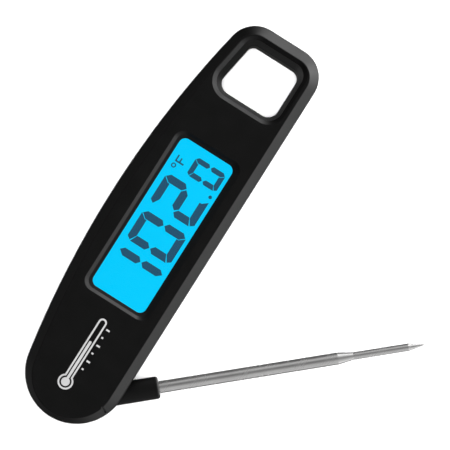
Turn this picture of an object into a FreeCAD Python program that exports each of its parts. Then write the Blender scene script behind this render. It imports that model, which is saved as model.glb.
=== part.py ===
"""Folding meat thermometer with a side-stowed probe, a backlit display and a hanging loop.

Units are millimetres. The thermometer lies on its back: +Z is the way the display faces, +Y runs along
the case towards the hanging loop, and +X is the side the probe folds into. The origin is the middle of
the case's outline, on the flat back (z = 0).
"""

import FreeCAD
import Part
import math
import os

V = FreeCAD.Vector
UP = V(0, 0, 1)

# --- case outline --------------------------------------------------------------------------------
CASE_RIGHT = 19.5          # straight side that the probe folds into
CASE_LEFT = -19.55         # furthest point of the bowed side
BOW_Y = 0.8                # where the bowed side is widest
CASE_TOP = 72.9
CASE_BOTTOM = -72.95
END_R = 16.95              # round bottom end
CORNER_R = 10.0            # two corners of the loop end

# --- heights through the case --------------------------------------------------------------------
SPLIT_Z = 9.3              # joint plane of the two shells
BEVEL_Z = 13.9             # foot of the bevel round the front
CASE_Z = 17.0              # front face
WALL = 1.8
BACK_ROUND = 1.2
BEVEL_SIDE = 3.15
BEVEL_TOP = 3.5
BEVEL_BOTTOM = 1.6
EASE = 0.4
BULKHEAD_Y = 43.2          # end of the main compartment, below the loop

# --- hanging loop opening ------------------------------------------------------------------------
LOOP_RIGHT = 12.55
LOOP_TOP = 66.4
LOOP_BOTTOM = 47.95
LOOP_LEFT_LOW = V(-9.05, 50.0, 0)     # the left side leans with the bowed case side
LOOP_LEFT_HIGH = V(-6.75, 64.0, 0)
LOOP_RADII = (3.7, 3.1, 2.4, 4.0)     # lower right, upper right, upper left, lower left
LOOP_RIM_RADII = (6.2, 5.7, 6.5, 6.8)  # the same corners of the dished rim, on the front face
LOOP_DISH = 2.75           # how far the rim reaches out there
LOOP_DISH_MID = 1.5
LOOP_MID_Z = 15.9
LOOP_LEFT_WIDER = 1.18     # the rim is wider by this factor along the leaning side,
LOOP_LOW_WIDER = 1.1       # and by this one at the bottom
OVER = 0.4                 # how far a cutting shape stands past the face it cuts

# --- display -------------------------------------------------------------------------------------
DISH = (-11.8, -31.1, 13.0, 29.8)     # rim's outer edge on the face: x0, y0, x1, y1
DISH_MID = (-10.6, -30.0, 11.85, 28.95)
VIEW = (-9.45, -28.95, 10.75, 27.95)  # clear opening
DISH_R = 3.6
DISH_MID_R = 2.9
VIEW_R = 2.3
DISH_MID_Z = 16.15
DISH_Z = 15.8
CEILING_Z = 15.2           # inside of the front wall
LENS_Z = 14.4
LCD_Z = (12.3, 14.3)
LCD = (-11.0, -31.0, 12.2, 29.6)
BOARD_Z = (9.4, 10.4)
INK = 0.06                 # thickness given to the display's dark bars
BIG_DIGIT = (11.4, 16.9, 2.65)        # width, height, stroke
SMALL_DIGIT = (6.85, 11.4, 1.75)
DIGIT_FOOT_X = 9.5
DIGIT_PITCH = 14.15
READING = (                # lit bars, where the digit starts along Y, and its size: 102.0
    ("bc", -10.4 - DIGIT_PITCH, BIG_DIGIT),
    ("abcdef", -10.4, BIG_DIGIT),
    ("abged", -10.4 + DIGIT_PITCH, BIG_DIGIT),
    ("abcdef", 17.85, SMALL_DIGIT),
)
UNIT_Y = 18.2

# --- printed sign --------------------------------------------------------------------------------
PRINT = 0.03               # thickness of the ink
SIGN_BULB = V(1.1, -60.6, 0)
SIGN_TOP_Y = -38.0
SIGN_TUBE_R = 1.45
SIGN_BULB_R = 2.6
SIGN_LINE = 0.6

# --- probe and its hinge -------------------------------------------------------------------------
PIVOT = V(14.73, -57.45, 0)
OPEN_DEG = 48.6            # how far the probe is swung out of its channel at rest
ARM_Z = (1.8, 8.0)
ARM_W = 7.5
ARM_LEN = 17.65
ARM_ROUND = 1.5
ARM_CROWN = 9.0               # radius of the arm's domed front
HUB_R = 4.0
AXIS_Z = 4.9
STEM_R = 2.0
SEAT_R = 1.72              # the stem is turned down where the arm holds it
TIP_R = 1.25
STEM_BORE_R = 1.45
TIP_BORE_R = 0.85
SEAT = 12.0                # length of stem held in the arm
STEM_GAP = 0.2             # between the arm's end and the stem's full diameter
STEM_LEN = 59.5            # length of the full diameter
STEP_LEN = 5.2
NECK_LEN = 18.4
POINT_LEN = 5.6
TRUNNION_R = 1.8
TRUNNION_TOP = 11.4
REAR_PIN_R = 1.9
RUN = 0.05                 # radial running clearance
EAR_Z = 1.6                # plate under the hub
ROOF_Z = 8.2               # underside of the channel's roof
ARM_WALL_X = PIVOT.x - 4.1
STEM_WALL_X = PIVOT.x - 2.6
TIP_WALL_X = PIVOT.x - 1.75
ARM_END_Y = PIVOT.y + ARM_LEN + 0.8
EAR_END_Y = PIVOT.y + 6.3
TIP_TAPER_Y = 45.5        # the channel narrows with the point, beside the loop
CHANNEL_END_Y = 49.8

# --- battery and its door ------------------------------------------------------------------------
CELL_AT = V(-4.0, -18.0, 0)
CELL_R = 10.0
CELL_H = 3.2
CELL_Z = 2.4
DOOR_R = 12.2
DOOR_Z = (0.15, 2.2)
NECK_R = (10.3, 10.9)
LUG_R = 11.95
LUG_Z = (3.6, 4.7)
LUG_DEG = 24.0
TWIST_DEG = 35.0           # turn that frees the door

# --- rear controls, magnets and screws -----------------------------------------------------------
BUTTONS = {"light": V(-4.0, 5.5, 0), "unit": V(-4.0, 17.5, 0)}
BUTTON_R = 3.5
MAGNETS = (V(-2.5, 34.0, 0), V(-5.5, -52.0, 0))
MAGNET_R = 4.0
MAGNET_H = 2.0
SCREWS = (V(-12.0, 41.0, 0), V(7.6, 41.0, 0), V(-12.0, -42.5, 0), V(1.8, -66.5, 0))
SCREW_R = 1.0
SCREW_HEAD_R = 1.9
SCREW_HEAD_Z = (1.0, 2.4)
SCREW_TIP_Z = 13.4


# --- small helpers -------------------------------------------------------------------------------
def cyl(r, z0, z1, at=V(0, 0, 0)):
    return Part.makeCylinder(r, z1 - z0, V(at.x, at.y, z0))


def ring(r_in, r_out, z0, z1, at=V(0, 0, 0)):
    return cyl(r_out, z0, z1, at).cut(cyl(r_in, z0 - 1, z1 + 1, at))


def box(x0, y0, z0, x1, y1, z1):
    return Part.makeBox(x1 - x0, y1 - y0, z1 - z0, V(x0, y0, z0))


def prism(wire, height):
    return Part.Face(wire).extrude(V(0, 0, height))


def ruled(*wires):
    return Part.makeLoft(list(wires), True, True)


def arc(a, mid, b):
    return Part.Arc(a, mid, b).toShape()


def line(a, b):
    return Part.LineSegment(a, b).toShape()


def fuse(first, *others):
    return first.multiFuse(list(others)).removeSplitter() if others else first


def cut(first, *others):
    for other in others:
        first = first.cut(other)
    return first.removeSplitter()


def try_fillet(shape, radius, wanted):
    """Rounds the edges that wanted(edge) picks, one chain at a time, and keeps what succeeds."""
    edges = [e for e in shape.Edges if wanted(e)]
    try:
        rounded = shape.makeFillet(radius, edges)
        if rounded.isValid() and rounded.Volume > 0.9 * shape.Volume:
            return rounded
    except Part.OCCError:
        pass
    print("fillet skipped:", radius, len(edges), "edges")
    return shape


def at_height(z, tol=1e-4):
    return lambda e: abs(e.BoundBox.ZMin - z) < tol and abs(e.BoundBox.ZMax - z) < tol


def rounded_polygon(points, radii, z):
    """Closed wire through points (counter-clockwise), each corner rounded by its own radius."""
    n = len(points)
    starts = []
    arcs = []
    for i in range(n):
        p = points[i]
        a = (points[i - 1] - p).normalize()
        b = (points[(i + 1) % n] - p).normalize()
        half = a.getAngle(b) / 2
        reach = radii[i] / math.tan(half)
        middle = p + (a + b).normalize() * (radii[i] / math.sin(half) - radii[i])
        starts.append((p + a * reach, p + b * reach))
        arcs.append(middle)
    lift = V(0, 0, z)
    edges = []
    for i in range(n):
        edges.append(arc(starts[i][0] + lift, arcs[i] + lift, starts[i][1] + lift))
        edges.append(line(starts[i][1] + lift, starts[(i + 1) % n][0] + lift))
    return Part.Wire(edges)


def rounded_rect(rect, r, z):
    x0, y0, x1, y1 = rect
    return rounded_polygon([V(x0, y0, 0), V(x1, y0, 0), V(x1, y1, 0), V(x0, y1, 0)], [r] * 4, z)


def case_outline(z, side=0.0, top=None, bottom=None):
    """The case's outline, moved inwards by side, top and bottom."""
    top = side if top is None else top
    bottom = side if bottom is None else bottom
    right = CASE_RIGHT - side
    left = CASE_LEFT + side
    y_top = CASE_TOP - top
    y_low = CASE_BOTTOM + bottom
    r_end = END_R - side
    end = V(right - r_end, y_low + r_end, z)
    r_corner = CORNER_R - max(side, top)
    # the bowed side is the arc that touches the line x = left at BOW_Y and the round end from outside
    gap = end.x - left
    rise = BOW_Y - end.y
    r_bow = (gap * gap + rise * rise - r_end * r_end) / (2 * (gap - r_end))
    bow = V(left + r_bow, BOW_Y, z)
    corner_y = y_top - r_corner
    corner = V(bow.x - math.sqrt((r_bow - r_corner) ** 2 - (corner_y - BOW_Y) ** 2), corner_y, z)
    low = bow + (end - bow).normalize() * r_bow
    high = bow + (corner - bow).normalize() * r_bow
    right_corner = V(right - r_corner, corner_y, z)
    diag = math.sqrt(0.5)
    corner_mid = corner + ((high - corner).normalize() + V(0, 1, 0)).normalize() * r_corner
    return Part.Wire([
        line(V(right, end.y, z), V(right, corner_y, z)),
        arc(V(right, corner_y, z), right_corner + V(diag, diag, 0) * r_corner,
            V(right_corner.x, y_top, z)),
        line(V(right_corner.x, y_top, z), V(corner.x, y_top, z)),
        arc(V(corner.x, y_top, z), corner_mid, high),
        arc(high, V(left, BOW_Y, z), low),
        arc(low, end + V(0, -r_end, 0), V(right, end.y, z)),
    ])


def loop_outline(grow, z):
    """The hanging loop's opening, moved outwards by grow."""
    lean = (LOOP_LEFT_HIGH - LOOP_LEFT_LOW).normalize()
    out = V(-lean.y, lean.x, 0)
    base = LOOP_LEFT_LOW + out * grow * LOOP_LEFT_WIDER
    y0 = LOOP_BOTTOM - grow * LOOP_LOW_WIDER
    y1 = LOOP_TOP + grow
    x_at = lambda y: base.x + (y - base.y) * lean.x / lean.y
    corners = [V(LOOP_RIGHT + grow, y0, 0), V(LOOP_RIGHT + grow, y1, 0), V(x_at(y1), y1, 0), V(x_at(y0), y0, 0)]
    spread = grow / LOOP_DISH
    return rounded_polygon(corners, [r + (rim - r) * spread for r, rim in zip(LOOP_RADII, LOOP_RIM_RADII)], z)


def arm_frame(shape):
    """Moves a shape drawn with the hinge at the origin and the probe along +Y to where it rests."""
    shape = shape.copy()
    shape.rotate(V(0, 0, 0), UP, -OPEN_DEG)
    shape.translate(PIVOT)
    return shape


def tube_path(points, bend, r):
    """A round cord along points, with each corner turned by an arc of radius bend."""
    edges = []
    here = points[0]
    for i in range(1, len(points) - 1):
        p = points[i]
        a = (points[i - 1] - p).normalize()
        b = (points[i + 1] - p).normalize()
        half = a.getAngle(b) / 2
        reach = bend / math.tan(half)
        middle = p + (a + b).normalize() * (bend / math.sin(half) - bend)
        edges.append(line(here, p + a * reach))
        edges.append(arc(p + a * reach, middle, p + b * reach))
        here = p + b * reach
    edges.append(line(here, points[-1]))
    path = Part.Wire(edges)
    start = Part.Wire(Part.makeCircle(r, points[0], (points[1] - points[0]).normalize()))
    return path.makePipeShell([start], True, True)


# --- the two shells ------------------------------------------------------------------------------
def front_shell():
    # the bevel's foot is eased by a narrow band that starts below it and ends a tenth of the way up
    foot = case_outline(BEVEL_Z - EASE)
    eased = case_outline(BEVEL_Z + (CASE_Z - BEVEL_Z) / 10, BEVEL_SIDE / 10, BEVEL_TOP / 10, BEVEL_BOTTOM / 10)
    block = fuse(
        prism(case_outline(SPLIT_Z), BEVEL_Z - EASE - SPLIT_Z),
        ruled(foot, eased),
        ruled(eased, case_outline(CASE_Z, BEVEL_SIDE, BEVEL_TOP, BEVEL_BOTTOM)),
    )
    block = try_fillet(block, 0.3, at_height(CASE_Z))
    main = box(-40, -90, 0, 40, BULKHEAD_Y, 40)
    lower = prism(case_outline(SPLIT_Z - 1, WALL), 12.6 - SPLIT_Z + 1)
    upper = ruled(case_outline(12.6, WALL), case_outline(CEILING_Z, 4.4))
    cavity = lower.fuse(upper).common(main)
    # the window's and the loop's dished rims run on above the face at their own slopes, for a clean cut
    run_on = OVER / (CASE_Z - DISH_MID_Z)
    wide = tuple(d + (d - m) * run_on for m, d in zip(DISH_MID, DISH))
    wide_r = DISH_R + (DISH_R - DISH_MID_R) * run_on
    middle = rounded_rect(DISH_MID, DISH_MID_R, DISH_MID_Z)
    dish = fuse(ruled(rounded_rect(VIEW, VIEW_R, DISH_Z), middle),
                ruled(middle, rounded_rect(wide, wide_r, CASE_Z + OVER)))
    window = prism(rounded_rect(VIEW, VIEW_R, CEILING_Z - 1), DISH_Z - CEILING_Z + 1)
    steep = (LOOP_DISH - LOOP_DISH_MID) / (CASE_Z - LOOP_MID_Z)
    loop = [
        ruled(loop_outline(LOOP_DISH_MID, LOOP_MID_Z), loop_outline(LOOP_DISH + steep * OVER, CASE_Z + OVER)),
        ruled(loop_outline(0, SPLIT_Z), loop_outline(LOOP_DISH_MID, LOOP_MID_Z)),
        prism(loop_outline(0, SPLIT_Z - 1), 1),
    ]
    core = prism(case_outline(SPLIT_Z - 1, WALL), 4).common(box(-40, BULKHEAD_Y + 2, 0, 40, 90, 40))
    core = core.cut(prism(loop_outline(2.4, 0), 40))
    hinge_relief = cyl(3.7, SPLIT_Z - 1, 12.3, PIVOT)
    mark = opening_mark()
    shell = cut(block, cavity, dish, window, *loop, core, hinge_relief, mark)
    posts = [cyl(2.6, SPLIT_Z + 0.05, CEILING_Z + 0.4, s) for s in SCREWS]
    posts += [cyl(1.1, BOARD_Z[1] + 0.02, CEILING_Z + 0.4, V(x, y, 0))
              for x in (-14.4, 15.3) for y in (-26.0, 26.0)]
    shell = fuse(shell, *posts)
    return cut(shell, *[cyl(SCREW_R + 0.02, SPLIT_Z - 1, SCREW_TIP_Z + 0.6, s) for s in SCREWS])


def opening_mark():
    """A short moulded groove across the bevel, beside the slot that the probe swings through."""
    end = V(CASE_RIGHT - END_R, CASE_BOTTOM + END_R, 0)
    out = V(math.cos(math.radians(-22.3)), math.sin(math.radians(-22.3)), 0)
    top = end + out * 13.7 + V(0, 0, CASE_Z + 0.8)
    foot = end + out * 16.3 + V(0, 0, 14.72)
    along = foot - top
    return Part.makeCylinder(0.36, along.Length, top, along)


def rear_shell():
    block = prism(case_outline(0), SPLIT_Z)
    block = try_fillet(block, BACK_ROUND, at_height(0))
    cavity = prism(case_outline(WALL, WALL), 20).common(
        box(-40, -36.8, 0, STEM_WALL_X - 1.5, BULKHEAD_Y, 40).fuse(
            box(-40, -90, 0, ARM_WALL_X - 1.5, -36.7, 40)))
    core = prism(case_outline(SPLIT_Z - 5.5, WALL), 10).common(box(-40, BULKHEAD_Y + 2, 0, 40, 90, 40))
    core = core.cut(prism(loop_outline(1.8, 0), 40)).cut(box(TIP_WALL_X - 1.5, 40, 0, 40, 52, 40))
    loop = prism(loop_outline(0, -1), 20)
    loop_back = ruled(loop_outline(0.9, -0.1), loop_outline(0, 0.8))
    shell = cut(block, cavity, core, loop, loop_back)
    shell = fuse(shell, battery_well(), *rear_bosses())
    shell = cut(shell, *probe_channel())
    shell = cut(shell, *battery_well_cuts(), *rear_holes(), gasket_ring(0.04, SPLIT_Z - 0.6, SPLIT_Z + 1))
    hinge_boss = cyl(3.4, SPLIT_Z - 0.1, 10.2, PIVOT)
    shell = fuse(shell, hinge_boss)
    hinge_cuts = [
        cyl(2.4, ROOF_Z - 0.1, SPLIT_Z, PIVOT),
        cyl(2.65, SPLIT_Z - 0.001, 11, PIVOT),
        cyl(2.6, 0.55, EAR_Z + 0.1, PIVOT),
    ]
    return cut(shell, *hinge_cuts, detent_pocket())


def probe_channel():
    """The rebate along the right side for the stem, and the slot round the hub for the arm's swing."""
    far = 30
    stem = box(STEM_WALL_X, ARM_END_Y - 1, -1, far, 44.2, ROOF_Z)
    corners = [V(TIP_WALL_X, 44, -1), V(far, 44, -1), V(far, CHANNEL_END_Y, -1),
               V(PIVOT.x - 0.7, CHANNEL_END_Y, -1), V(TIP_WALL_X, TIP_TAPER_Y, -1)]
    tip = prism(Part.makePolygon(corners + corners[:1]), ROOF_Z + 1)
    slot = box(ARM_WALL_X, -90, EAR_Z, far, ARM_END_Y, ROOF_Z)
    open_back = box(ARM_WALL_X, EAR_END_Y, -1, far, ARM_END_Y, EAR_Z + 0.1)
    return stem, tip, slot, open_back


def battery_well():
    return cyl(13.3, 1.0, 8.4, CELL_AT)


def battery_well_cuts():
    slots = []
    for i in range(3):
        wedge = Part.makeCylinder(LUG_R + 0.12, 1.4, V(CELL_AT.x, CELL_AT.y, 2.2), UP, LUG_DEG + 6)
        wedge.rotate(CELL_AT, UP, 120 * i - TWIST_DEG - 3 - LUG_DEG / 2)
        slots.append(wedge)
    return [
        cyl(DOOR_R + 0.15, -1, 2.3, CELL_AT),
        cyl(NECK_R[1] + 0.15, 2, 5, CELL_AT),
        cyl(LUG_R + 0.15, 3.5, 4.9, CELL_AT),
        cyl(CELL_R + 0.6, 4.8, 7.2, CELL_AT),
        box(CELL_AT.x - 1.7, CELL_AT.y + 3.1, 7, CELL_AT.x + 1.7, CELL_AT.y + 3.9, 9),
        box(CELL_AT.x - 10.5, CELL_AT.y - 2.2, 7, CELL_AT.x - 9.7, CELL_AT.y + 2.2, 9),
        *slots,
    ]


def rear_bosses():
    """Material inside the back for the screws, magnets, button guides and the detent spring."""
    inside = prism(case_outline(1, 0.6), 20)
    posts = [cyl(3.0, 1, SPLIT_Z, s) for s in SCREWS]
    cups = [cyl(MAGNET_R + 1.1, 1, 3.4, m) for m in MAGNETS]
    guides = [ring(4.7, 5.7, 1, 3.6, b) for b in BUTTONS.values()]
    spring_block = box(7.2, -63.0, 1, ARM_WALL_X, -51.6, SPLIT_Z)
    return [s.common(inside) for s in posts + cups + guides + [spring_block]]


def rear_holes():
    holes = []
    for s in SCREWS:
        holes.append(cyl(SCREW_HEAD_R + 0.2, -1, SCREW_HEAD_Z[1], s))
        holes.append(cyl(SCREW_R + 0.15, 0, 12, s))
    holes += [cyl(MAGNET_R + 0.05, -1, MAGNET_H + 0.15, m) for m in MAGNETS]
    for b in BUTTONS.values():
        holes.append(cyl(BUTTON_R + 0.12, -1, 3, b))
        holes.append(Part.makeCone(BUTTON_R + 1.5, BUTTON_R + 0.1, 1.0, V(b.x, b.y, -0.3)))
    return holes


def detent_pocket():
    y = PIVOT.y
    return box(8.75, y - 4.6, 2.6, ARM_WALL_X + 0.5, y + 4.6, 7.2)


def gasket_ring(slack, z0, z1):
    """The seal's ring between the shells, round the main compartment, widened by slack."""
    mid = WALL / 2
    half = 0.33 + slack
    outer = prism(case_outline(z0, mid - half), z1 - z0).common(box(-40, -90, 0, 40, 44.6 + half, 40))
    inner = prism(case_outline(z0 - 1, mid + half), z1 - z0 + 2).common(box(-40, -90, 0, 40, 44.6 - half, 40))
    return outer.cut(inner)


def case_gasket():
    return gasket_ring(0, SPLIT_Z - 0.58, SPLIT_Z)


# --- display stack -------------------------------------------------------------------------------
def display_window():
    x0, y0, x1, y1 = LCD
    lens = prism(rounded_rect((x0 - 1.2, y0 - 1.2, x1 + 1.2, y1 + 1.2), 1.5, LENS_Z), CEILING_Z - LENS_Z)
    return lens


def lcd_panel():
    x0, y0, x1, y1 = LCD
    z0, z1 = LCD_Z
    rear_glass = box(x0, y0, z0, x1, y1, (z0 + z1) / 2)
    front_glass = box(x0, y0, (z0 + z1) / 2, x1 - 1.3, y1, z1)
    return fuse(rear_glass, front_glass)


def segment_outlines(width, height, stroke):
    """The seven bars of a digit, as corner lists (across, up) from its lower left corner."""
    gap = 0.18
    w, h, s = width, height, stroke
    m = h / 2
    upper_right = [(w - 0.46 * s, h - 0.1 * s), (w, h - 0.6 * s), (w, m + s / 2), (w - s / 2, m + gap),
                   (w - s, m + 0.45 * s + gap), (w - s, h - 0.75 * s)]
    upper_left = [(0, h - 0.6 * s), (0, m + s / 2), (s / 2, m + gap), (s, m + 0.45 * s + gap), (s, h - 1.08 * s)]
    top = [(0.45 * s, h), (w - 0.5 * s, h), (w - s - gap, h - 0.73 * s), (w - s - gap, h - s),
           (0.95 * s, h - s), (0.1 * s, h - 0.48 * s)]
    middle = [(0.72 * s, m), (1.17 * s, m + s / 2), (w - s - 2 * gap, m + s / 2), (w - 0.64 * s, m),
              (w - 1.13 * s, m - s / 2), (1.13 * s, m - s / 2)]
    flip = lambda bar: [(u, h - v) for u, v in bar]
    return {"a": top, "b": upper_right, "c": flip(upper_right), "d": flip(top), "e": flip(upper_left),
            "f": upper_left, "g": middle}


def lcd_segments():
    """The lit bars of the reading. It is read along +Y, with the tops of the digits towards -X."""
    z = LCD_Z[1]
    place = lambda start, u, v: V(DIGIT_FOOT_X - v, start + u, z)
    bars = []
    for lit, start, (width, height, stroke) in READING:
        outlines = segment_outlines(width, height, stroke)
        for name in lit:
            corners = [place(start, u, v) for u, v in outlines[name]]
            bars.append(prism(Part.makePolygon(corners + corners[:1]), INK))
    top_x = DIGIT_FOOT_X - BIG_DIGIT[1]
    point = cyl(0.6, z, z + INK, V(DIGIT_FOOT_X - 0.65, READING[2][1] + BIG_DIGIT[0] + 0.5, 0))
    degree = ring(0.45, 0.85, z, z + INK, V(top_x + 0.45, UNIT_Y, 0))
    letter = fuse(box(top_x, UNIT_Y + 1.4, z, top_x + 3.2, UNIT_Y + 1.95, z + INK),
                  box(top_x, UNIT_Y + 1.4, z, top_x + 0.5, UNIT_Y + 3.8, z + INK),
                  box(top_x + 1.4, UNIT_Y + 1.4, z, top_x + 1.9, UNIT_Y + 3.3, z + INK))
    return Part.makeCompound(bars + [point, degree, letter])


def printed_sign():
    """A plain thermometer sign with graduation marks, printed on the face below the display."""
    z = CASE_Z
    bulb = SIGN_BULB
    top = V(bulb.x, SIGN_TOP_Y, 0)
    tube = lambda r_tube, r_bulb, end: fuse(
        cyl(r_bulb, z, z + PRINT, bulb),
        cyl(r_tube, z, z + PRINT, end),
        box(bulb.x - r_tube, bulb.y, z, bulb.x + r_tube, end.y, z + PRINT),
    )
    glass = tube(SIGN_TUBE_R, SIGN_BULB_R, top).cut(tube(SIGN_TUBE_R - SIGN_LINE, SIGN_BULB_R - SIGN_LINE, top))
    column = tube(0.45, 1.45, V(bulb.x, -45.5, 0))
    marks = []
    for i in range(6):
        y = -54.5 + 3.0 * i
        marks.append(box(bulb.x + 2.2, y, z, bulb.x + (3.5 if i % 2 else 2.9), y + SIGN_LINE, z + PRINT))
    return Part.makeCompound([glass, column, *marks])


def lcd_frame():
    x0, y0, x1, y1 = LCD
    outer = prism(rounded_rect((x0 - 1.6, y0 - 1.6, x1 + 1.6, y1 + 1.6), 1.2, BOARD_Z[1]), 3.9)
    return outer.cut(box(x0 - 0.1, y0 - 0.1, 0, x1 + 0.1, y1 + 0.1, 40))


def backlight_guide():
    x0, y0, x1, y1 = LCD
    return box(x0, y0 + 2.5, BOARD_Z[1] + 0.05, x1 - 1.8, y1 - 0.1, LCD_Z[0] - 0.1)


def backlight_leds():
    x0, y0, x1, y1 = LCD
    leds = [box(x - 1.5, y0 + 0.5, BOARD_Z[1], x + 1.5, y0 + 2.4, BOARD_Z[1] + 1.2) for x in (-7.0, -0.5, 6.0)]
    return Part.makeCompound(leds)


def contact_strip():
    """Striped rubber that joins the display's glass to the board."""
    x0, y0, x1, y1 = LCD
    return box(x1 - 1.6, y0 + 1.0, BOARD_Z[1], x1 - 0.2, y1 - 1.0, LCD_Z[0])


# --- circuit board -------------------------------------------------------------------------------
def circuit_board():
    board = prism(case_outline(BOARD_Z[0], 2.3), BOARD_Z[1] - BOARD_Z[0])
    board = board.common(box(-40, -48.0, 0, 40, 36.8, 40))
    return board.cut(cyl(3.2, 0, 20, SCREWS[2]))


def processor_blob():
    """The chip under its drop of epoxy, on the back of the board."""
    ball_r = 8.5
    ball = Part.makeSphere(ball_r, V(-1.0, -38.5, BOARD_Z[0] - 1.3 + ball_r))
    return ball.common(box(-20, -60, 0, 20, 0, BOARD_Z[0]))


def board_components():
    """Resistors and capacitors on the back of the board."""
    z = BOARD_Z[0]
    places = [(-14.0, 4.0), (-14.0, 8.0), (-13.6, 12.0), (5.5, 3.0), (5.5, 7.0), (5.5, 11.0), (5.0, 27.0),
              (0.0, 27.0), (-8.0, 27.5), (-6.8, -44.5), (3.5, -45.5)]
    return Part.makeCompound([box(x - 1.0, y - 0.6, z - 0.6, x + 1.0, y + 0.6, z) for x, y in places])


def reed_switch():
    """Glass switch that the arm's magnet works, so that the display wakes when the probe opens."""
    at = V(PIVOT.x, -47.0, BOARD_Z[1] + 1.0)
    return Part.makeCylinder(0.95, 9.0, at, V(0, 1, 0))


def switch_bodies():
    bodies = []
    for b in BUTTONS.values():
        body = box(b.x - 3, b.y - 3, 5.9, b.x + 3, b.y + 3, BOARD_Z[0])
        bodies.append(body.cut(cyl(1.8, 5, 8.0, b)))
    return Part.makeCompound(bodies)


def lead_socket():
    """Two-pole socket on the board for the sensor's leads."""
    z = BOARD_Z[1]
    body = box(6.0, -46.5, z, 10.5, -42.5, z + 2.6)
    return body.cut(box(6.8, -47, z + 0.8, 9.7, -43.5, z + 2.0))


# --- battery -------------------------------------------------------------------------------------
def coin_cell():
    can = cyl(CELL_R, CELL_Z, CELL_Z + CELL_H - 0.35, CELL_AT)
    cap = cyl(CELL_R - 1.2, CELL_Z, CELL_Z + CELL_H, CELL_AT)
    return try_fillet(fuse(can, cap), 0.25, at_height(CELL_Z))


def positive_contact():
    x = CELL_AT.x - CELL_R
    y = CELL_AT.y
    return fuse(box(x - 0.3, y - 2, 5.1, x - 0.05, y + 2, BOARD_Z[0]),
                box(x - 1.6, y - 2, BOARD_Z[0] - 0.3, x - 0.05, y + 2, BOARD_Z[0]))


def negative_contact():
    """Flat leaf under the well's ceiling, with a sprung tongue down to the cell and a tab to the board."""
    x, y = CELL_AT.x, CELL_AT.y
    leaf = box(x - 1.5, y - 4, 6.85, x + 1.5, y + 3.7, 7.1)
    tab = box(x - 1.5, y + 3.4, 6.85, x + 1.5, y + 3.65, BOARD_Z[0])
    side = Part.Wire(Part.makePolygon([
        V(x - 1.5, y - 4, 7.1), V(x - 1.5, y - 4, 6.85), V(x - 1.5, y + 0.5, 5.62), V(x - 1.5, y + 1.6, 5.62),
        V(x - 1.5, y + 1.6, 5.87), V(x - 1.5, y + 0.5, 5.87), V(x - 1.5, y - 4, 7.1)]))
    tongue = Part.Face(side).extrude(V(3, 0, 0))
    return fuse(leaf, tab, tongue)


def battery_door():
    disc = cyl(DOOR_R, *DOOR_Z, CELL_AT)
    neck = ring(*NECK_R, DOOR_Z[1] - 0.1, LUG_Z[1] + 0.1, CELL_AT)
    lugs = []
    for i in range(3):
        lug = Part.makeCylinder(LUG_R, LUG_Z[1] - LUG_Z[0], V(CELL_AT.x, CELL_AT.y, LUG_Z[0]), UP, LUG_DEG)
        lug.rotate(CELL_AT, UP, 120 * i - LUG_DEG / 2)
        lugs.append(lug.cut(cyl(NECK_R[0] + 0.2, 0, 10, CELL_AT)))
    door = fuse(disc, neck, *lugs)
    door = try_fillet(door, 0.35, lambda e: at_height(DOOR_Z[0])(e) and e.BoundBox.XLength > 20)
    slot = box(CELL_AT.x - 7.5, CELL_AT.y - 0.95, -1, CELL_AT.x + 7.5, CELL_AT.y + 0.95, 1.15)
    slot = fuse(slot, cyl(0.95, -1, 1.15, CELL_AT + V(7.5, 0, 0)), cyl(0.95, -1, 1.15, CELL_AT - V(7.5, 0, 0)))
    groove = ring(DOOR_R - 0.62, DOOR_R + 1, 0.85, 1.65, CELL_AT)
    return cut(door, slot, groove)


def door_seal():
    return Part.makeTorus(DOOR_R - 0.24, 0.3, V(CELL_AT.x, CELL_AT.y, 1.25))


# --- rear controls -------------------------------------------------------------------------------
def button_cap(name):
    at = BUTTONS[name]
    cap = cyl(BUTTON_R, 0.45, 2.1, at)
    cap = try_fillet(cap, 0.4, at_height(0.45))
    flange = cyl(BUTTON_R + 0.9, WALL + 0.05, 2.6, at)
    return fuse(cap, flange, cyl(1.4, 2.5, 5.1, at))


def button_plunger(name):
    return cyl(1.7, 5.1, 7.4, BUTTONS[name])


def magnet(i):
    return try_fillet(cyl(MAGNET_R, 0.1, 0.1 + MAGNET_H, MAGNETS[i]), 0.25, at_height(0.1))


# --- screws --------------------------------------------------------------------------------------
def case_screws():
    screws = []
    for s in SCREWS:
        head = cyl(SCREW_HEAD_R, *SCREW_HEAD_Z, s)
        head = try_fillet(head, 0.35, at_height(SCREW_HEAD_Z[0]))
        shank = cyl(SCREW_R, SCREW_HEAD_Z[1] - 0.1, SCREW_TIP_Z, s)
        point = Part.makeCone(SCREW_R, 0.4, 0.5, V(s.x, s.y, SCREW_TIP_Z))
        cross = fuse(box(s.x - 1.15, s.y - 0.22, 0, s.x + 1.15, s.y + 0.22, 1.75),
                     box(s.x - 0.22, s.y - 1.15, 0, s.x + 0.22, s.y + 1.15, 1.75))
        screws.append(cut(fuse(head, shank, point), cross))
    return Part.makeCompound(screws)


# --- hinge ---------------------------------------------------------------------------------------
def front_bush():
    return ring(TRUNNION_R + RUN, 2.4, ROOF_Z, SPLIT_Z, PIVOT)


def rear_bush():
    return ring(REAR_PIN_R + RUN, 2.6, 0.58, EAR_Z, PIVOT)


def front_washer():
    return ring(TRUNNION_R + 0.1, 3.6, ARM_Z[1] + 0.03, ROOF_Z - 0.02, PIVOT)


def rear_washer():
    return ring(REAR_PIN_R + 0.1, 3.6, EAR_Z + 0.02, ARM_Z[0] - 0.03, PIVOT)


def hinge_seal():
    return Part.makeTorus(2.245, 0.39, V(PIVOT.x, PIVOT.y, SPLIT_Z + 0.42))


def hinge_clip():
    """Spring ring in the trunnion's groove. It bears on the boss and keeps the arm in the case."""
    clip = ring(1.42, 3.0, 10.45, 10.85, V(0, 0, 0))
    return arm_frame(clip.cut(box(-0.9, 0, 10, 0.9, 5, 11)))


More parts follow.
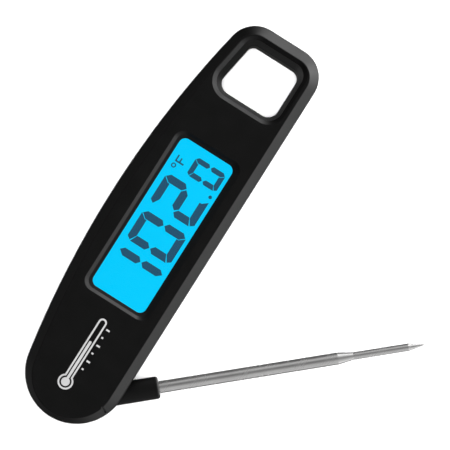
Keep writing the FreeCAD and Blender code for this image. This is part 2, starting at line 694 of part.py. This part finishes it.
def detent_spring():
    """Leaf whose ridge clicks into the hub's three notches."""
    y = PIVOT.y
    leaf = box(8.8, y - 4.5, 2.8, 9.1, y + 4.5, 7.0)
    ridge = Part.makeCylinder(1.3, 3.6, V(9.27, y, 3.1))
    ridge = ridge.cut(box(0, -90, 0, 8.8, 0, 40))
    return fuse(leaf, ridge)


# --- probe ---------------------------------------------------------------------------------------
def probe_arm():
    half = ARM_W / 2
    crown = Part.makeCylinder(ARM_CROWN, ARM_LEN + 2, V(0, -1, ARM_Z[1] - ARM_CROWN), V(0, 1, 0))
    beam = box(-half, 0, ARM_Z[0], half, ARM_LEN, ARM_Z[1]).common(crown)
    at_a_side = lambda e: abs(e.BoundBox.XMin) > half - 0.1 and e.BoundBox.XLength < 0.1
    beam = try_fillet(beam, ARM_ROUND, lambda e: at_a_side(e) and e.BoundBox.YLength > ARM_LEN - 0.1)
    beam = try_fillet(beam, 0.9, lambda e: e.BoundBox.YMin > ARM_LEN - 0.01)
    hub = cyl(HUB_R, *ARM_Z)
    hub = try_fillet(hub, 0.4, lambda e: at_height(ARM_Z[0])(e) or at_height(ARM_Z[1])(e))
    arm = fuse(beam, hub, cyl(TRUNNION_R, ARM_Z[1] - 0.1, TRUNNION_TOP), cyl(REAR_PIN_R, 0.68, ARM_Z[0] + 0.1))
    notches = []
    for at in (V(-1, 0, 0), V(0, -1, 0)):
        notches.append(cyl(1.35, 2.9, 6.9, at * (HUB_R + 1.0)))
    stem_seat = Part.makeCylinder(SEAT_R, SEAT + 1, V(0, ARM_LEN - SEAT, AXIS_Z), V(0, 1, 0))
    chamber = box(-1.0, -1.0, AXIS_Z - 1.0, 1.0, ARM_LEN - SEAT, 7.4)
    return arm_frame(cut(
        arm,
        stem_seat,
        chamber,
        cyl(1.0, 7, 12),
        ring(1.4, 3, 10.4, 10.9),
        cyl(1.55, 1, 2.75, V(0, 12.0, 0)),
        *notches,
    ))


def arm_magnet():
    """Disc set in the arm's underside, which works the reed switch."""
    return arm_frame(cyl(1.5, ARM_Z[0] + 0.03, 2.72, V(0, 12.0, 0)))


def probe_stem():
    y0 = ARM_LEN - SEAT
    collar = ARM_LEN + STEM_GAP
    y1 = collar + STEM_LEN
    y2 = y1 + STEP_LEN
    y3 = y2 + NECK_LEN
    y4 = y3 + POINT_LEN
    z = AXIS_Z
    nose = 0.25
    outline = Part.makePolygon([
        V(STEM_BORE_R, y0, z), V(SEAT_R, y0, z), V(SEAT_R, collar, z), V(STEM_R, collar, z),
        V(STEM_R, y1, z), V(TIP_R, y2, z), V(TIP_R, y3, z),
        V(nose, y4 - nose, z), V(0, y4, z), V(0, y3 + 0.6, z), V(TIP_BORE_R, y3 + 0.6, z),
        V(TIP_BORE_R, y2 - 0.3, z), V(STEM_BORE_R, y1 - 0.3, z), V(STEM_BORE_R, y0, z)])
    return arm_frame(Part.Face(Part.Wire(outline)).revolve(V(0, 0, z), V(0, 1, 0), 360))


def temperature_sensor():
    y = ARM_LEN + STEM_GAP + STEM_LEN + STEP_LEN + NECK_LEN
    return arm_frame(Part.makeCylinder(0.7, 3.0, V(0, y - 2.6, AXIS_Z), V(0, 1, 0)))


def probe_leads():
    y = ARM_LEN + STEM_GAP + STEM_LEN + STEP_LEN + NECK_LEN - 2.62
    points = [V(0, y, AXIS_Z), V(0, 0, AXIS_Z), V(0, 0, TRUNNION_TOP)]
    return arm_frame(tube_path(points, 2.0, 0.42))


def board_leads():
    """The same leads from the top of the trunnion to the socket on the board."""
    points = [V(PIVOT.x, PIVOT.y, TRUNNION_TOP + 0.05), V(PIVOT.x, PIVOT.y, 13.4),
              V(8.3, -51.5, 13.4), V(8.3, -48.6, 11.8), V(8.3, -43.6, 11.8)]
    return tube_path(points, 0.9, 0.42)


PARTS = {
    "front_shell": front_shell,
    "printed_sign": printed_sign,
    "rear_shell": rear_shell,
    "case_gasket": case_gasket,
    "display_window": display_window,
    "lcd_panel": lcd_panel,
    "lcd_segments": lcd_segments,
    "lcd_frame": lcd_frame,
    "backlight_guide": backlight_guide,
    "backlight_leds": backlight_leds,
    "contact_strip": contact_strip,
    "circuit_board": circuit_board,
    "processor_blob": processor_blob,
    "board_components": board_components,
    "reed_switch": reed_switch,
    "switch_bodies": switch_bodies,
    "lead_socket": lead_socket,
    "board_leads": board_leads,
    "coin_cell": coin_cell,
    "positive_contact": positive_contact,
    "negative_contact": negative_contact,
    "battery_door": battery_door,
    "door_seal": door_seal,
    "light_button": lambda: button_cap("light"),
    "light_plunger": lambda: button_plunger("light"),
    "unit_button": lambda: button_cap("unit"),
    "unit_plunger": lambda: button_plunger("unit"),
    "upper_magnet": lambda: magnet(0),
    "lower_magnet": lambda: magnet(1),
    "case_screws": case_screws,
    "front_bush": front_bush,
    "rear_bush": rear_bush,
    "front_washer": front_washer,
    "rear_washer": rear_washer,
    "hinge_seal": hinge_seal,
    "hinge_clip": hinge_clip,
    "detent_spring": detent_spring,
    "probe_arm": probe_arm,
    "arm_magnet": arm_magnet,
    "probe_stem": probe_stem,
    "temperature_sensor": temperature_sensor,
    "probe_leads": probe_leads,
}


def main():
    os.makedirs("parts", exist_ok=True)
    for name, make in PARTS.items():
        shape = make()
        state = "" if shape.isValid() else "  NOT VALID"
        print(f"{name}: {len(shape.Solids)} solid(s), {shape.Volume:.1f} mm3{state}")
        shape.exportStep(f"parts/{name}.step")


main()
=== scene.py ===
"""Looks for the folding meat thermometer: materials, window and display, floor, light and camera."""

import math

import bpy
from mathutils import Matrix, Vector

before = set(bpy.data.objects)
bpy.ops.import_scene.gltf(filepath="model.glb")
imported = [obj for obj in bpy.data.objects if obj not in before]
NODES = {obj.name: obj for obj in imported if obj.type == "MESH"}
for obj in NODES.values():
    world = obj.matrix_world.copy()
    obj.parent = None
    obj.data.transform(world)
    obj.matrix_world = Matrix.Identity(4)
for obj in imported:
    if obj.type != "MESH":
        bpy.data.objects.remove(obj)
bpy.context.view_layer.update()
MM = 0.001


# --- material helpers ----------------------------------------------------------------------------
NOISE_RANGE = (0.3, 0.7)               # where nearly all of a noise texture's values lie


def chain(tree, source, *steps):
    """Runs a value through maths nodes, each given as (operation, value)."""
    for operation, value in steps:
        node = tree.nodes.new("ShaderNodeMath")
        node.operation = operation
        node.inputs[1].default_value = value
        tree.links.new(source, node.inputs[0])
        source = node.outputs["Value"]
    return source


class Look:
    """A node material with one Principled shader, and short ways to add to it."""

    def __init__(self, name, colour, rough, metallic=0.0, **sockets):
        self.mat = bpy.data.materials.new(name)
        self.mat.use_nodes = True
        self.tree = self.mat.node_tree
        self.shader = self.tree.nodes["Principled BSDF"]
        self.set("Base Color", (*colour, 1.0))
        self.set("Roughness", rough)
        self.set("Metallic", metallic)
        for socket, value in sockets.items():
            self.set(socket.replace("_", " "), value)
        self.colour = colour
        self.rough = rough
        self.height = None

    def set(self, socket, value):
        """Gives one socket of the Principled shader a fixed value."""
        self.shader.inputs[socket].default_value = value

    def node(self, kind, **inputs):
        """A new node with some of its inputs set."""
        made = self.tree.nodes.new(kind)
        for socket, value in inputs.items():
            made.inputs[socket.replace("_", " ")].default_value = value
        return made

    def link(self, source, target):
        self.tree.links.new(source, target)

    def place(self, stretch=(1, 1, 1), turn=(0, 0, 0)):
        """Object coordinates, stretched and turned."""
        coords = self.tree.nodes.new("ShaderNodeTexCoord")
        mapping = self.tree.nodes.new("ShaderNodeMapping")
        mapping.inputs["Scale"].default_value = stretch
        mapping.inputs["Rotation"].default_value = turn
        self.link(coords.outputs["Object"], mapping.inputs["Vector"])
        return mapping.outputs["Vector"]

    def noise(self, size, detail=2.0, stretch=(1, 1, 1), turn=(0, 0, 0)):
        """Noise whose features are about size metres across."""
        tex = self.node("ShaderNodeTexNoise", Scale=1.0 / size, Detail=detail, Roughness=0.55)
        self.link(self.place(stretch, turn), tex.inputs["Vector"])
        return tex.outputs["Fac"]

    def ramp(self, source, low, high):
        """Maps the middle of a noise's range to low..high, for numbers or for colours."""
        start, end = NOISE_RANGE
        if isinstance(low, tuple):
            ramp = self.tree.nodes.new("ShaderNodeValToRGB")
            ramp.color_ramp.elements[0].position = start
            ramp.color_ramp.elements[1].position = end
            ramp.color_ramp.elements[0].color = (*low, 1.0)
            ramp.color_ramp.elements[1].color = (*high, 1.0)
            self.link(source, ramp.inputs["Fac"])
            return ramp.outputs["Color"]
        span = self.tree.nodes.new("ShaderNodeMapRange")
        span.inputs["From Min"].default_value = start
        span.inputs["From Max"].default_value = end
        span.inputs["To Min"].default_value = low
        span.inputs["To Max"].default_value = high
        self.link(source, span.inputs["Value"])
        return span.outputs["Result"]

    def vary_colour(self, source, amount):
        """Lets the base colour drift by that share either way."""
        low = tuple(c * (1 - amount) for c in self.colour)
        high = tuple(min(1.0, c * (1 + amount)) for c in self.colour)
        self.link(self.ramp(source, low, high), self.shader.inputs["Base Color"])

    def vary_rough(self, source, amount):
        """Lets the roughness drift by that amount either way."""
        drift = self.ramp(source, self.rough - amount, self.rough + amount)
        self.link(drift, self.shader.inputs["Roughness"])

    def bump(self, source, depth):
        """Adds a bump of that depth in metres on top of any bump already there."""
        bump = self.node("ShaderNodeBump", Strength=1.0, Distance=depth)
        self.link(source, bump.inputs["Height"])
        if self.height is not None:
            self.link(self.height, bump.inputs["Normal"])
        self.height = bump.outputs["Normal"]
        self.link(self.height, self.shader.inputs["Normal"])

    def soft_edges(self, radius):
        """Rounds the edges in the shading. It comes before any bump."""
        bevel = self.node("ShaderNodeBevel", Radius=radius)
        bevel.samples = 6
        self.height = bevel.outputs["Normal"]
        self.link(self.height, self.shader.inputs["Normal"])


def moulded(name, colour, rough, depth=0.004 * MM, level=0.4):
    """Moulded plastic: spark-eroded grain of that depth, faint flow marks and softened edges."""
    look = Look(name, colour, rough, Specular_IOR_Level=level)
    look.soft_edges(0.15 * MM)
    look.bump(look.noise(0.18 * MM, 3.0), depth)
    look.vary_rough(look.noise(6 * MM, 4.0), 0.05)
    look.vary_colour(look.noise(14 * MM, 3.0), 0.12)
    return look.mat


def metal(name, colour, rough, grain=0.1 * MM, stretch=(1, 1, 1), turn=(0, 0, 0), depth=0.0015 * MM):
    """Bare or plated metal with fine drawn or rolled marks."""
    look = Look(name, colour, rough, 1.0)
    look.soft_edges(0.08 * MM)
    look.bump(look.noise(grain, 3.0, stretch, turn), depth)
    look.vary_rough(look.noise(3 * MM, 4.0, stretch, turn), 0.07)
    look.vary_colour(look.noise(9 * MM, 3.0), 0.06)
    return look.mat


def rubber(name, colour):
    """Matt rubber with a fine grain."""
    look = Look(name, colour, 0.75, Specular_IOR_Level=0.25)
    look.bump(look.noise(0.12 * MM, 3.0), 0.006 * MM)
    look.vary_colour(look.noise(2 * MM, 3.0), 0.15)
    return look.mat


def glowing(name, colour, rough):
    """A backlit surface: it gives off its own colour, slightly unevenly, and hardly takes any light."""
    look = Look(name, tuple(c * 0.01 for c in colour), rough, Specular_IOR_Level=0.0)
    look.set("Emission Color", (*colour, 1.0))
    glow = look.ramp(look.noise(25 * MM, 2.0), 0.985, 1.015)
    look.link(glow, look.shader.inputs["Emission Strength"])
    return look.mat


def pane(name, rough):
    """A thin clear pane: what is behind it shows unbent, under a sheen that grows towards grazing."""
    look = Look(name, (0.9, 0.9, 0.9), rough, 1.0)
    look.vary_rough(look.noise(2 * MM, 3.0), rough / 2)
    angle = look.node("ShaderNodeLayerWeight", Blend=0.5).outputs["Facing"]
    sheen = chain(look.tree, angle, ("POWER", 5.0), ("MULTIPLY", 0.7), ("ADD", 0.012))
    through = look.tree.nodes.new("ShaderNodeBsdfTransparent")
    mix = look.tree.nodes.new("ShaderNodeMixShader")
    look.link(sheen, mix.inputs["Fac"])
    look.link(through.outputs["BSDF"], mix.inputs[1])
    look.link(look.shader.outputs["BSDF"], mix.inputs[2])
    look.link(mix.outputs["Shader"], look.tree.nodes["Material Output"].inputs["Surface"])
    return look.mat


def clear(name, colour, rough, ior=1.49):
    """Solid clear plastic or glass, which bends what is behind it."""
    look = Look(name, colour, rough, Transmission_Weight=1.0, IOR=ior)
    look.vary_rough(look.noise(2 * MM, 3.0), min(rough, 0.02))
    return look.mat


# --- what each node is made of -------------------------------------------------------------------
PROBE_TURN = math.radians(48.6)        # lays the stem's drawn marks along the probe at rest

CASE = moulded("case_black", (0.0005, 0.0005, 0.0005), 0.33, level=0.33)
ARM = moulded("arm_black", (0.0005, 0.0005, 0.0005), 0.35, level=0.32)
BUTTON = moulded("button_grey", (0.075, 0.075, 0.08), 0.5)
STEEL = metal(
    "stem_steel", (0.74, 0.735, 0.73), 0.25,
    grain=0.3 * MM, stretch=(1, 0.05, 1), turn=(0, 0, PROBE_TURN), depth=0.00015 * MM,
)
SHEET_STEEL = metal("sheet_steel", (0.6, 0.6, 0.6), 0.3, grain=0.08 * MM, stretch=(1, 0.1, 1))
NICKEL = metal("nickel_plate", (0.70, 0.68, 0.64), 0.18)
ZINC = metal("zinc_screw", (0.42, 0.42, 0.43), 0.35)
SPRING = metal("spring_steel", (0.45, 0.45, 0.46), 0.28)
PRINT = moulded("print_grey", (0.28, 0.28, 0.28), 0.6)
WHITE = moulded("frame_white", (0.72, 0.72, 0.70), 0.45)
ACETAL = moulded("bush_acetal", (0.75, 0.75, 0.71), 0.3)
GUIDE = clear("guide_clear", (0.9, 0.97, 1.0), 0.03)
REED = clear("reed_glass", (0.85, 0.93, 0.88), 0.02, 1.5)
BOARD = moulded("board_green", (0.015, 0.13, 0.045), 0.3, depth=0.002 * MM)
EPOXY = moulded("epoxy_black", (0.008, 0.008, 0.008), 0.2, depth=0.001 * MM)
CHIP = moulded("chip_tan", (0.33, 0.26, 0.18), 0.5)
BEAD = moulded("sensor_bead", (0.25, 0.15, 0.07), 0.4)
LED = moulded("led_body", (0.82, 0.78, 0.5), 0.35)
GASKET = rubber("gasket_grey", (0.10, 0.10, 0.10))
STRIP = rubber("strip_rubber", (0.5, 0.36, 0.36))
LEAD = rubber("lead_sleeve", (0.45, 0.03, 0.025))
WINDOW = pane("window_clear", 0.04)
LCD = glowing("lcd_cyan", (0.0, 0.60, 0.99), 0.4)
INK = glowing("lcd_ink", (0.018, 0.084, 0.155), 0.5)

MADE_OF = {
    CASE: ("front_shell", "rear_shell", "battery_door"),
    ARM: ("probe_arm",),
    BUTTON: ("light_button", "unit_button"),
    PRINT: ("printed_sign",),
    STEEL: ("probe_stem",),
    SHEET_STEEL: ("coin_cell", "switch_bodies"),
    NICKEL: ("upper_magnet", "lower_magnet", "arm_magnet", "positive_contact", "negative_contact"),
    ZINC: ("case_screws",),
    SPRING: ("hinge_clip", "detent_spring"),
    WHITE: ("lcd_frame", "lead_socket", "light_plunger", "unit_plunger"),
    ACETAL: ("front_bush", "rear_bush", "front_washer", "rear_washer"),
    GUIDE: ("backlight_guide",),
    REED: ("reed_switch",),
    BOARD: ("circuit_board",),
    EPOXY: ("processor_blob",),
    CHIP: ("board_components",),
    BEAD: ("temperature_sensor",),
    LED: ("backlight_leds",),
    GASKET: ("case_gasket", "hinge_seal", "door_seal"),
    STRIP: ("contact_strip",),
    LEAD: ("board_leads", "probe_leads"),
    WINDOW: ("display_window",),
    LCD: ("lcd_panel",),
    INK: ("lcd_segments",),
}
for material, names in MADE_OF.items():
    for name in names:
        slots = NODES[name].data.materials
        for i in range(len(slots)):
            slots[i] = material


# --- floor and light -----------------------------------------------------------------------------
FLOOR_REACH = 3.0
FLOOR_DROP = 0.1 * MM                  # keeps the floor clear of the flat back
SOFTBOX_HEIGHT = 1.3
SOFTBOX_WIDTH = 0.9


def floor():
    """White paper under the part. It isn't seen in gloss, which shows the studio's glows instead."""
    mesh = bpy.data.meshes.new("floor")
    reach = FLOOR_REACH
    corners = [(-reach, -reach, 0), (reach, -reach, 0), (reach, reach, 0), (-reach, reach, 0)]
    mesh.from_pydata(corners, [], [(0, 1, 2, 3)])
    obj = bpy.data.objects.new("floor", mesh)
    bpy.context.scene.collection.objects.link(obj)
    look = Look("floor_paper", (0.90, 0.90, 0.90), 0.9, Specular_IOR_Level=0.1)
    look.vary_colour(look.noise(0.05, 3.0), 0.01)
    mesh.materials.append(look.mat)
    obj.location.z = -FLOOR_DROP
    obj.visible_glossy = False


def softbox(place, aim, power):
    """A square light overhead. It lights the floor and matt surfaces, and isn't seen in gloss."""
    data = bpy.data.lights.new("softbox", "AREA")
    data.shape = "SQUARE"
    data.size = SOFTBOX_WIDTH
    data.energy = power
    light = bpy.data.objects.new("softbox", data)
    bpy.context.scene.collection.objects.link(light)
    light.visible_glossy = False
    light.location = place
    light.rotation_euler = (Vector(aim) - Vector(place)).to_track_quat("-Z", "Y").to_euler()


def towards(azimuth, elevation):
    """Unit vector for an azimuth from +X and an elevation above the floor, in degrees."""
    a = math.radians(azimuth)
    e = math.radians(elevation)
    return math.cos(e) * math.cos(a), math.cos(e) * math.sin(a), math.sin(e)


def studio(base, glows):
    """The room: an even level plus soft glows, each (azimuth, elevation, level, tightness)."""
    world = bpy.data.worlds.new("studio")
    world.use_nodes = True
    tree = world.node_tree
    coords = tree.nodes.new("ShaderNodeTexCoord")
    total = None
    for azimuth, elevation, level, tightness in glows:
        facing = tree.nodes.new("ShaderNodeVectorMath")
        facing.operation = "DOT_PRODUCT"
        facing.inputs[1].default_value = towards(azimuth, elevation)
        tree.links.new(coords.outputs["Generated"], facing.inputs[0])
        cosine = facing.outputs["Value"]
        glow = chain(tree, cosine, ("MAXIMUM", 0.0), ("POWER", tightness), ("MULTIPLY", level))
        if total is None:
            total = chain(tree, glow, ("ADD", base))
        else:
            add = tree.nodes.new("ShaderNodeMath")
            tree.links.new(total, add.inputs[0])
            tree.links.new(glow, add.inputs[1])
            total = add.outputs["Value"]
    back = tree.nodes["Background"]
    back.inputs["Color"].default_value = (1, 1, 1, 1)
    tree.links.new(total, back.inputs["Strength"])
    bpy.context.scene.world = world


def lights():
    """Azimuths run from +X towards +Y. The probe's sides face -48.6 and 131.4."""
    softbox(place=(0.0, -0.05, SOFTBOX_HEIGHT), aim=(0.01, 0.0, 0.01), power=36)
    studio(0.03, (
        (0, 90, 0.04, 1),         # ceiling
        (0, -90, 0.04, 2),        # from straight below
        (215, -32, 0.25, 5),      # from low on the left
        (30, 66, 0.10, 20),       # high on the right
        (-48.6, 38, 0.50, 4),     # broad glow on the probe's lower side, and under it
        (-48.6, -12, 0.14, 5),
        (-24, -12, 1.00, 14),     # for the round end's bevel
        (131.4, 50, 0.27, 8),     # dimmer glows on the probe's upper side and its tapers
        (100, 40, 0.50, 14),
        (112, 22, 0.35, 36),
        (88, -25, 0.6, 8),        # for the inner edge of the loop
        (180, 12, 0.14, 4),       # left side
        (50, 2, 5.2, 6),          # main light, low beyond the loop's right corner
        (95, 8, 4.2, 30),         # low beyond the loop
        (8, 14, 2.1, 14),         # right side
    ))


# --- camera --------------------------------------------------------------------------------------
VIEW_CENTRE = Vector((17.80, 10.60, 14.0)) * MM
VIEW_WIDTH = 147.5 * MM                # what the picture shows across, at the view's centre
ROLL = math.radians(32.30)
TILT = math.radians(3.2)               # away from straight down
LENS = 300.0
SENSOR = 36.0


def camera():
    """A long lens, almost straight above, rolled so that the case leans to the right."""
    data = bpy.data.cameras.new("camera")
    data.lens = LENS
    data.sensor_width = SENSOR
    data.clip_start = 0.01
    data.clip_end = 20.0
    obj = bpy.data.objects.new("camera", data)
    bpy.context.scene.collection.objects.link(obj)
    turn = Matrix.Rotation(TILT, 4, "X") @ Matrix.Rotation(ROLL, 4, "Z")
    distance = VIEW_WIDTH * LENS / SENSOR
    place = VIEW_CENTRE + turn.to_3x3() @ Vector((0, 0, distance))
    obj.matrix_world = Matrix.Translation(place) @ turn
    bpy.context.scene.camera = obj


floor()
lights()
camera()
bpy.context.scene.view_settings.view_transform = "Standard"
